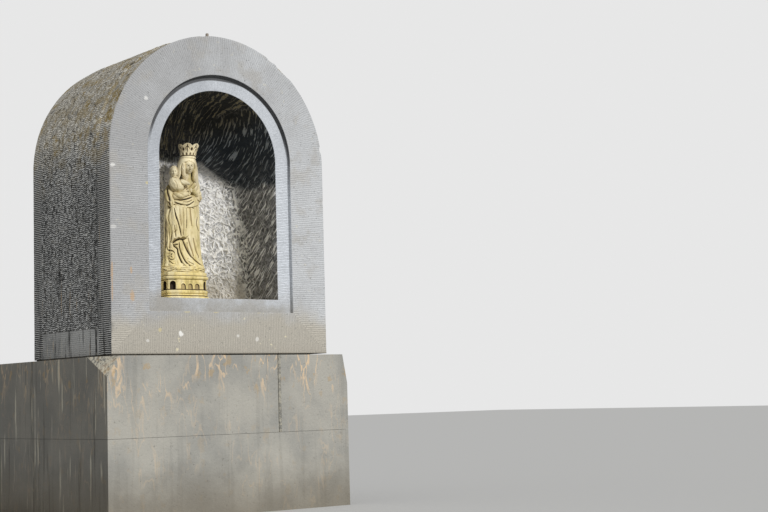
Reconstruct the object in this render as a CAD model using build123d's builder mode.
"""Wayside shrine: a round-topped bluestone niche block on a plinth, with a statuette in the niche.

Millimetres, Z up. The origin is the middle of the plinth's underside, the niche opens towards -Y.
"""
import os
from math import cos, pi, sin

from build123d import *

os.makedirs("parts", exist_ok=True)

# plinth: two courses of large blocks, dry upright joints
PLINTH_W = 610
PLINTH_D = 560
COURSE_H = 170
TOP_Z = 2 * COURSE_H
TOP_JOINT_X = 118
LOW_JOINT_Y = 30
JOINT = 0.6
JOINT_MOUTH = 4
CHIP_X, CHIP_Y, CHIP_Z = 27, 85, 44
WORN_RUN, WORN_FALL = 12, 65

# niche block: front margin round the plinth, bed of mortar, drafted margins, proud middle panel
SHELF = 35
BLOCK_W = 550
BLOCK_D = 362
BLOCK_FRONT = SHELF - PLINTH_D / 2
BLOCK_BACK = BLOCK_FRONT + BLOCK_D
BED = 4
BED_INSET = 4
BED_WASH = 60
BLOCK_Z = TOP_Z + BED
RADIUS = BLOCK_W / 2
SPRING_H = 427
SPRING_Z = BLOCK_Z + SPRING_H
MARGIN = 55
REAR_MARGIN = 45
LOW_BAND = 57
PANEL_PROUD = 2.5

# sunk frame, fascia and niche with its half-domed apse
FASCIA = 34
FASCIA_LOW = 30
SINK = 10
NICHE_R = 150
SILL_H = 121
NICHE_SPRING_H = 431
NICHE_SILL = BLOCK_Z + SILL_H
NICHE_SPRING = BLOCK_Z + NICHE_SPRING_H
JAMB_D = 90
APSE_Y = BLOCK_FRONT + SINK + JAMB_D
FRAME_R = NICHE_R + FASCIA
FRAME_SILL = NICHE_SILL - FASCIA_LOW

# stub of the lost finial, leaded into the crown of the arch
DOWEL_R = 3.5
DOWEL_UP = 11
DOWEL_DEEP = 40
DOWEL_X = -21
DOWEL_Y = BLOCK_FRONT + 16

# statuette: stands behind the middle of the sill; its forms are given in units of its own height
FIGURE_H = 370
UNIT = FIGURE_H / 370
AX, AY = 0, BLOCK_FRONT + 172
FLOOR = NICHE_SILL
SEAT = 0.3 * UNIT


def at(x, y, z):
    """A point of the statuette: units right of, behind and above the foot of its axis."""
    return (AX + UNIT * x, AY + UNIT * y, FLOOR + UNIT * z)


def base_plan(half_width, front, back, cant_x, cant_y):
    """Plan of the statuette base: straight back and sides, canted front corners."""
    with BuildSketch() as plan:
        with Locations((AX, AY)):
            Polygon(*[(UNIT * x, UNIT * y) for x, y in (
                (-half_width, back), (half_width, back), (half_width, front + cant_y),
                (half_width - cant_x, front), (cant_x - half_width, front), (-half_width, front + cant_y))],
                align=None)
    return plan.sketch


def slab(low, high, plan):
    """Solid between two levels of the statuette over a plan."""
    with BuildPart() as block:
        with BuildSketch(Plane.XY.offset(FLOOR + UNIT * low)):
            add(plan)
        extrude(amount=UNIT * (high - low))
    return block.part


def folds(x, y, half_w, half_d, lobes, depth, turn, grow):
    """Points of a fluted oval, the plan of hanging cloth."""
    ring = []
    for i in range(2 * lobes):
        t = pi * i / lobes
        r = UNIT * (1 + (depth if i % 2 == 0 else -depth))
        ring.append((AX + UNIT * x + (half_w * r + grow) * cos(t + turn),
                     AY + UNIT * y + (half_d * r + grow) * sin(t + turn)))
    return ring


def cloth(levels, lobes, depth, grow=0.0):
    """Hanging cloth lofted through fluted ovals; a level is height, x, y, half width, half depth, turn."""
    with BuildPart() as form:
        for z, x, y, half_w, half_d, turn in levels:
            with BuildSketch(Plane.XY.offset(FLOOR + UNIT * z)):
                with BuildLine():
                    Spline(*folds(x, y, half_w, half_d, lobes, depth, turn, grow), periodic=True)
                make_face()
        loft()
    return form.part


def ovals(levels, grow=0.0):
    """Smooth body lofted through ovals; a level is height, x, y, half width, half depth."""
    with BuildPart() as form:
        for z, x, y, half_w, half_d in levels:
            with BuildSketch(Plane.XY.offset(FLOOR + UNIT * z)):
                with Locations((AX + UNIT * x, AY + UNIT * y)):
                    Ellipse(UNIT * half_w + grow, UNIT * half_d + grow)
        loft()
    return form.part


def limb(start, end, r_start, r_end, grow=0.0):
    """Tapering round limb between two points of the statuette, with rounded ends."""
    a, b = Vector(*at(*start)), Vector(*at(*end))
    axis = (b - a).normalized()
    with BuildPart() as form:
        with BuildSketch(Plane(origin=a, z_dir=axis)):
            Circle(UNIT * r_start + grow)
        with BuildSketch(Plane(origin=b, z_dir=axis)):
            Circle(UNIT * r_end + grow)
        loft()
        with Locations(a):
            Sphere(UNIT * r_start + grow)
        with Locations(b):
            Sphere(UNIT * r_end + grow)
    return form.part


# plinth, upper course: two blocks side by side; the left one has lost its front corner
with BuildPart() as plinth_left_stone:
    with BuildSketch(Plane.XY.offset(COURSE_H + JOINT)):
        with Locations((-PLINTH_W / 2, 0)):
            Rectangle(PLINTH_W / 2 + TOP_JOINT_X - JOINT, PLINTH_D, align=(Align.MIN, Align.CENTER))
    extrude(amount=COURSE_H - JOINT)
    mouth = plinth_left_stone.edges().filter_by(Axis.Z).group_by(Axis.X)[-1].sort_by(Axis.Y)[0]
    chamfer(mouth, JOINT_MOUTH)
    worn = Plane(origin=(CHIP_X - PLINTH_W / 2, -PLINTH_D / 2, TOP_Z), x_dir=(-CHIP_X, CHIP_Y, 0),
                 z_dir=(-CHIP_Y * CHIP_Z, -CHIP_X * CHIP_Z, CHIP_X * CHIP_Y))
    with BuildSketch(worn):
        Rectangle(4 * CHIP_Y, 4 * CHIP_Z)
    extrude(amount=CHIP_Y, mode=Mode.SUBTRACT)

with BuildPart() as plinth_right_stone:
    with BuildSketch(Plane.XY.offset(COURSE_H + JOINT)):
        with Locations((PLINTH_W / 2, 0)):
            Rectangle(PLINTH_W / 2 - TOP_JOINT_X - JOINT, PLINTH_D, align=(Align.MAX, Align.CENTER))
    extrude(amount=COURSE_H - JOINT)
    mouth = plinth_right_stone.edges().filter_by(Axis.Z).group_by(Axis.X)[0].sort_by(Axis.Y)[0]
    chamfer(mouth, JOINT_MOUTH)
    top = plinth_right_stone.faces().sort_by(Axis.Z)[-1]
    chamfer(top.edges().sort_by(Axis.X)[-1], WORN_RUN, WORN_FALL, reference=top)

# plinth, lower course: bond broken, front and back blocks
with BuildPart() as plinth_front_stone:
    with BuildSketch():
        with Locations((0, -PLINTH_D / 2)):
            Rectangle(PLINTH_W, PLINTH_D / 2 + LOW_JOINT_Y - JOINT, align=(Align.CENTER, Align.MIN))
    extrude(amount=COURSE_H)

with BuildPart() as plinth_back_stone:
    with BuildSketch():
        with Locations((0, PLINTH_D / 2)):
            Rectangle(PLINTH_W, PLINTH_D / 2 - LOW_JOINT_Y - JOINT, align=(Align.CENTER, Align.MAX))
    extrude(amount=COURSE_H)

# bedding mortar under the block, washed out along the right of the front
with BuildPart() as bed_mortar:
    with BuildSketch(Plane.XY.offset(TOP_Z)):
        with Locations((0, (BLOCK_FRONT + BLOCK_BACK) / 2)):
            Rectangle(BLOCK_W - 2 * BED_INSET, BLOCK_D - 2 * BED_INSET)
        with Locations((BLOCK_W / 2 - BED_INSET, BLOCK_FRONT)):
            Polygon((0, 0), (0, BED_WASH), (-BLOCK_W / 2, BED_WASH / 8), (-BLOCK_W / 2, 0), align=None,
                    mode=Mode.SUBTRACT)
    extrude(amount=BED)


def arch(y, radius, sill, spring):
    """Round-headed outline in an upright plane at depth y: radius, sill level, springing level."""
    with BuildSketch(Plane.XZ.offset(-y)) as outline:
        with BuildLine():
            Polyline((-radius, spring), (-radius, sill), (radius, sill), (radius, spring))
            RadiusArc((-radius, spring), (radius, spring), radius)
        make_face()
    return outline.sketch


# the niche block: one stone, round top, proud tooled panel, sunk frame, deep niche ending in an apse
with BuildPart() as niche_block:
    extrude(arch(BLOCK_FRONT, RADIUS, BLOCK_Z, SPRING_Z), amount=-BLOCK_D)
    extrude(arch(BLOCK_FRONT + MARGIN, RADIUS + PANEL_PROUD, BLOCK_Z + LOW_BAND, SPRING_Z),
            amount=MARGIN + REAR_MARGIN - BLOCK_D)
    extrude(arch(BLOCK_FRONT, FRAME_R, FRAME_SILL, NICHE_SPRING), amount=-SINK, mode=Mode.SUBTRACT)
    extrude(arch(BLOCK_FRONT, NICHE_R, NICHE_SILL, NICHE_SPRING), amount=-SINK - JAMB_D, mode=Mode.SUBTRACT)
    with Locations((0, APSE_Y, NICHE_SILL)):
        Cylinder(NICHE_R, NICHE_SPRING - NICHE_SILL, align=(Align.CENTER, Align.CENTER, Align.MIN),
                 mode=Mode.SUBTRACT)
    with Locations((0, APSE_Y, NICHE_SPRING)):
        Sphere(NICHE_R, mode=Mode.SUBTRACT)
    crown_z = SPRING_Z + RADIUS - PANEL_PROUD
    with Locations((DOWEL_X, DOWEL_Y, crown_z - DOWEL_DEEP)):
        Cylinder(DOWEL_R + SEAT, 2 * DOWEL_DEEP, align=(Align.CENTER, Align.CENTER, Align.MIN),
                 mode=Mode.SUBTRACT)

# iron stub left in the crown of the arch
with BuildPart() as finial_dowel:
    with Locations((DOWEL_X, DOWEL_Y, crown_z - DOWEL_DEEP)):
        Cylinder(DOWEL_R, DOWEL_DEEP + DOWEL_UP, align=(Align.CENTER, Align.CENTER, Align.MIN))
    chamfer(finial_dowel.edges().sort_by(Axis.Z)[-1], DOWEL_R / 4)

# statuette base: foot slab with a fillet, arcaded drum, cornice with a step
with BuildPart() as statue_foot_slab:
    add(slab(0, 14, base_plan(55, -37, 38, 20, 14)))
    add(slab(14, 20, base_plan(53, -35, 37, 20, 14)))
    chamfer(statue_foot_slab.faces().sort_by(Axis.Z)[-1].edges(), 1.5 * UNIT)

with BuildPart() as statue_arcade:
    add(slab(20, 28, base_plan(53, -36, 37, 20, 14)))
    add(slab(28, 52, base_plan(51, -33, 36, 20, 14)))
    for x in (-18, 0, 18):
        with BuildSketch(Plane(origin=at(x, -33, 29), x_dir=(1, 0, 0), z_dir=(0, -1, 0))):
            Rectangle(11 * UNIT, 10 * UNIT, align=(Align.CENTER, Align.MIN))
            with Locations((0, 10 * UNIT)):
                Circle(5.5 * UNIT)
        extrude(amount=-3.5 * UNIT, mode=Mode.SUBTRACT)
    for side in (-1, 1):
        for x, y, facing in ((41, -26, (14 * side, -20, 0)), (51, -6, (side, 0, 0))):
            with BuildSketch(Plane(origin=at(side * x, y, 29), z_dir=facing, x_dir=(-facing[1], facing[0], 0))):
                Rectangle(12 * UNIT, 14 * UNIT, align=(Align.CENTER, Align.MIN))
                with Locations((0, 14 * UNIT)):
                    Circle(6 * UNIT)
            extrude(amount=-9 * UNIT, mode=Mode.SUBTRACT)

with BuildPart() as statue_cornice:
    add(slab(52, 59, base_plan(55, -37, 38, 20, 14)))
    chamfer(statue_cornice.faces().sort_by(Axis.Z)[0].edges(), 2.5 * UNIT)
    add(slab(59, 69, base_plan(52, -34, 37, 20, 14)))

# figure, from the ground up: ground with its swirl of cloth, robe, bodice
GROUND = ((69, 1, 0, 52, 33, 0.2), (84, 2, 0, 49, 31, 0.2))
ROBE = ((84, 3, -1, 47, 27.5, 0), (145, 3, -1, 39, 24, 0.1), (222, 4, -2, 36, 22.5, 0.2))
BODICE = ((222, 5, -2, 33, 20), (245, 8, -2, 30, 18.5), (272, 12, -2, 29, 16), (283, 12, -4, 20, 12))
MANTLE = ((84, 0, 1, 49, 30), (145, 0, 1, 43, 27), (222, 2, 1, 41, 26), (272, 9, 1, 36, 22))

with BuildPart() as ground:
    add(cloth(GROUND, 9, 0.03))

with BuildPart() as robe:
    add(cloth(ROBE, 11, 0.05))

with BuildPart() as bodice:
    add(ovals(BODICE))

# the mantle wraps the back and both sides and leaves the robe's front open
with BuildPart() as mantle:
    add(ovals(MANTLE))
    with BuildSketch(Plane.XY.offset(FLOOR + 84 * UNIT)):
        with Locations((AX, AY)):
            Polygon(*[(UNIT * x, UNIT * y) for x, y in (
                (-35, -70), (-35, -10), (38, -4), (80, -18), (80, -70))], align=None)
    extrude(amount=200 * UNIT, mode=Mode.SUBTRACT)
    add(cloth(ROBE, 11, 0.05, SEAT), mode=Mode.SUBTRACT)
    add(ovals(BODICE, SEAT), mode=Mode.SUBTRACT)

# front fall of the mantle, ending in an undercut edge above the knee
with BuildPart() as apron_fold:
    with BuildSketch(Plane.XY.offset(FLOOR + 142 * UNIT)):
        with Locations(at(-20, -23, 0)[:2]):
            RectangleRounded(30 * UNIT, 14 * UNIT, 3 * UNIT)
    with BuildSketch(Plane.XY.offset(FLOOR + 216 * UNIT)):
        with Locations(at(-13, -22, 0)[:2]):
            RectangleRounded(30 * UNIT, 12 * UNIT, 3 * UNIT)
    loft()
    add(cloth(ROBE, 11, 0.05, SEAT), mode=Mode.SUBTRACT)
    add(mantle.part, mode=Mode.SUBTRACT)

# sash of cloth drawn across the waist
with BuildPart() as waist_swag:
    add(ovals(((222.1, 5, -3, 38, 26), (231, 6, -5, 38, 26), (243, 7, -4, 34, 22))))
    add(ovals(BODICE, SEAT), mode=Mode.SUBTRACT)
    add(mantle.part, mode=Mode.SUBTRACT)
    with BuildSketch(Plane.XY.offset(FLOOR + 216 * UNIT)):
        with Locations(at(0, -2, 0)[:2]):
            Rectangle(120 * UNIT, 60 * UNIT, align=(Align.CENTER, Align.MIN))
    extrude(amount=30 * UNIT, mode=Mode.SUBTRACT)

# head on its neck, the veil over it, the crown
HEAD_AT = (12, -12, 313)
HEAD_R = 17
NECK = ((283, 12, -7, 9, 8), (302, 12, -8, 9, 8))
VEIL = ((283, 11, -4, 29, 18), (296, 11, -8, 26, 20), (315, 11, -9, 24, 20), (331, 12, -9, 16, 15))
with BuildPart() as head:
    with Locations(at(*HEAD_AT)):
        Sphere(UNIT * HEAD_R)
    add(ovals(NECK))

with BuildPart() as veil:
    add(ovals(VEIL))
    with Locations(at(*HEAD_AT)):
        Sphere(UNIT * HEAD_R + SEAT, mode=Mode.SUBTRACT)
    add(ovals(NECK, SEAT), mode=Mode.SUBTRACT)

with BuildPart() as crown:
    with BuildSketch(Plane.XY.offset(FLOOR + 331 * UNIT)):
        with Locations(at(13, -10.5, 0)[:2]):
            Circle(17 * UNIT)
    extrude(amount=34 * UNIT, taper=-7)
    with BuildSketch(Plane.XY.offset(FLOOR + 339 * UNIT)):
        with Locations(at(13, -10.5, 0)[:2]):
            Circle(14 * UNIT)
    extrude(amount=30 * UNIT, taper=-7, mode=Mode.SUBTRACT)
    for i in range(3):
        with Locations(Location(at(13, -10.5, 368), (0, 0, 22 + 60 * i))):
            Cylinder(8 * UNIT, 70 * UNIT, rotation=(0, 90, 0), mode=Mode.SUBTRACT)

# the child on the right arm, its arm reaching across
with BuildPart() as child_body:
    add(ovals(((253, -24, -22, 11, 8), (266, -27, -24, 16, 12.5), (284, -31, -22, 8, 7))))
    add(ovals(BODICE, SEAT), mode=Mode.SUBTRACT)
    add(mantle.part, mode=Mode.SUBTRACT)

with BuildPart() as child_head:
    with Locations(at(-31, -21.5, 295.5)):
        Sphere(12 * UNIT)
    with BuildSketch(Plane.XY.offset(FLOOR + 270 * UNIT)):
        with Locations(at(-31, -21.5, 0)[:2]):
            Rectangle(60 * UNIT, 60 * UNIT)
    extrude(amount=14.1 * UNIT, mode=Mode.SUBTRACT)
    add(ovals(VEIL, SEAT), mode=Mode.SUBTRACT)

with BuildPart() as child_arm:
    add(limb((-18, -30, 274), (3, -28, 270), 5, 3.5))
    add(child_body.part, mode=Mode.SUBTRACT)
    add(ovals(BODICE, SEAT), mode=Mode.SUBTRACT)

# arms of the figure: the right one bears the child, the left hand holds its feet
with BuildPart() as right_arm:
    add(limb((-34, -16, 243), (2, -28, 247), 9, 6))
    for piece in (ovals(BODICE, SEAT), child_body.part, mantle.part, waist_swag.part):
        add(piece, mode=Mode.SUBTRACT)

with BuildPart() as left_arm:
    add(limb((37, -9, 250), (10, -29, 256), 9, 5.5))
    for piece in (ovals(BODICE, SEAT), mantle.part, waist_swag.part, right_arm.part):
        add(piece, mode=Mode.SUBTRACT)

for name, node in {
    "plinth_left_stone": plinth_left_stone, "plinth_right_stone": plinth_right_stone,
    "plinth_front_stone": plinth_front_stone, "plinth_back_stone": plinth_back_stone,
    "bed_mortar": bed_mortar, "niche_block": niche_block, "finial_dowel": finial_dowel,
    "statue_foot_slab": statue_foot_slab, "statue_arcade": statue_arcade, "statue_cornice": statue_cornice,
    "ground": ground, "robe": robe, "bodice": bodice, "mantle": mantle, "apron_fold": apron_fold,
    "waist_swag": waist_swag, "head": head, "veil": veil, "crown": crown, "child_body": child_body,
    "child_head": child_head, "child_arm": child_arm, "right_arm": right_arm, "left_arm": left_arm,
}.items():
    node.part.label = name
    export_step(node.part, f"parts/{name}.step")
